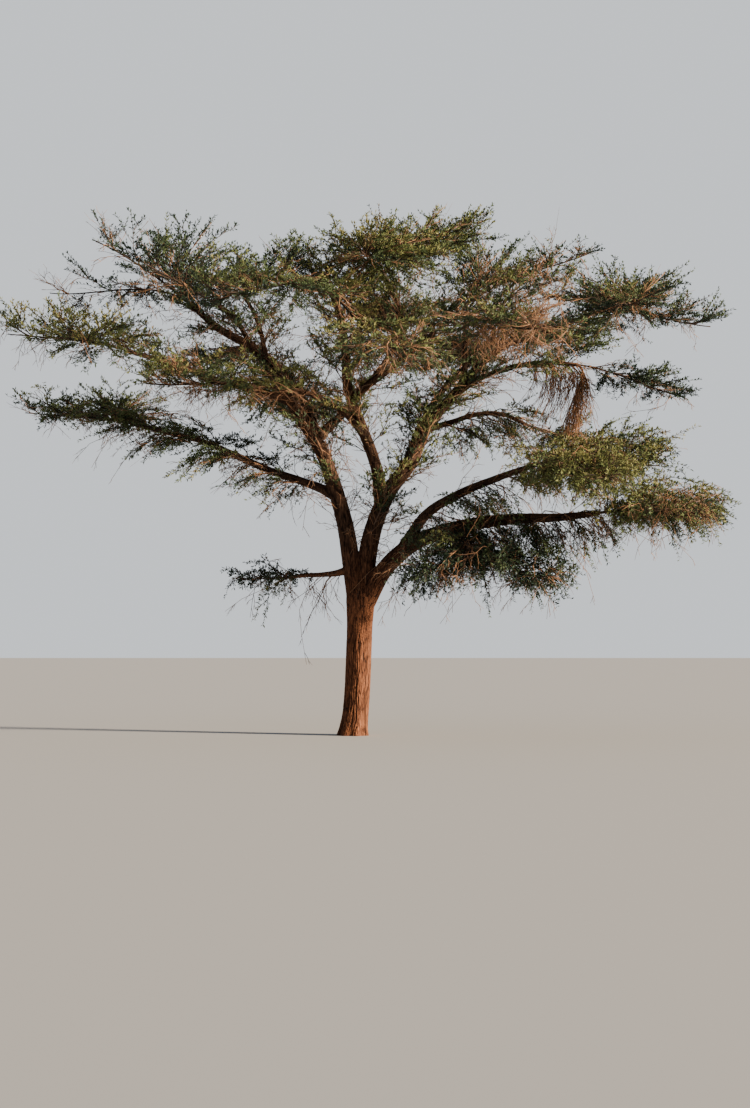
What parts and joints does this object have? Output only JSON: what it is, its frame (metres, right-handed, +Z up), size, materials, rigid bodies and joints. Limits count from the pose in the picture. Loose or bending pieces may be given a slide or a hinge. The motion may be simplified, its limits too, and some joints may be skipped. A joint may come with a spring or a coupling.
{
  "type": "acacia tree",
  "caption": "Umbrella thorn acacia: a short leaning trunk that forks low into rising boughs, under a wide open crown of flat layers of small leaves.",
  "frame": {"origin": "middle of the flat cut under the trunk, at ground level", "axes": "+Z up, +X to the right of someone in front of the tree as the picture shows it, +Y away from them"},
  "size_m": [10.1514, 9.7049, 7.5605],
  "materials": {
    "bark": "rough furrowed bark, red-brown in the light",
    "leaves": "small dull olive-green leaves",
    "dry_twigs": "bare dry twigs, orange-brown"
  },
  "bodies": {
    "root": {"trunk": "bark", "bough_back_left": "bark", "bough_back_right": "bark", "bough_centre": "bark", "bough_centre_left": "bark", "bough_centre_right": "bark", "bough_centre_top": "bark", "bough_hanging": "bark", "bough_left": "bark", "bough_left_front": "bark", "bough_left_inner": "bark", "bough_left_layer": "bark", "bough_left_low": "bark", "bough_left_lowest": "bark", "bough_left_upright": "bark", "bough_low_right": "bark", "bough_low_right_upper": "bark", "bough_right": "bark", "bough_right_arch": "bark", "bough_right_high": "bark", "bough_right_mid": "bark", "bough_right_upright": "bark", "leaves_back_centre": "leaves", "leaves_back_left": "leaves", "leaves_back_low": "leaves", "leaves_centre_front_right": "leaves", "leaves_centre_front_top": "leaves", "leaves_centre_left_top": "leaves", "leaves_centre_top": "leaves", "leaves_front_centre": "leaves", "leaves_front_left": "leaves", "leaves_front_right": "leaves", "leaves_hanging_left": "leaves", "leaves_hanging_right": "leaves", "leaves_left_front": "leaves", "leaves_left_inner": "leaves", "leaves_left_layer": "leaves", "leaves_left_layer_tip": "leaves", "leaves_left_low": "leaves", "leaves_left_low_tip": "leaves", "leaves_left_shoulder": "leaves", "leaves_left_top": "leaves", "leaves_left_top_back": "leaves", "leaves_left_top_reach": "leaves", "leaves_left_top_tip": "leaves", "leaves_lowest": "leaves", "leaves_right_back_high": "leaves", "leaves_right_back_low": "leaves", "leaves_right_far_high": "leaves", "leaves_right_high": "leaves", "leaves_right_low": "leaves", "leaves_right_low_front": "leaves", "leaves_right_low_mid": "leaves", "leaves_right_low_tip": "leaves", "leaves_right_mid": "leaves", "leaves_right_small": "leaves", "leaves_right_tip": "leaves", "leaves_right_top": "leaves", "leaves_right_tuft": "leaves", "twigs_dry_column": "dry_twigs"}
  },
  "joints": []
}
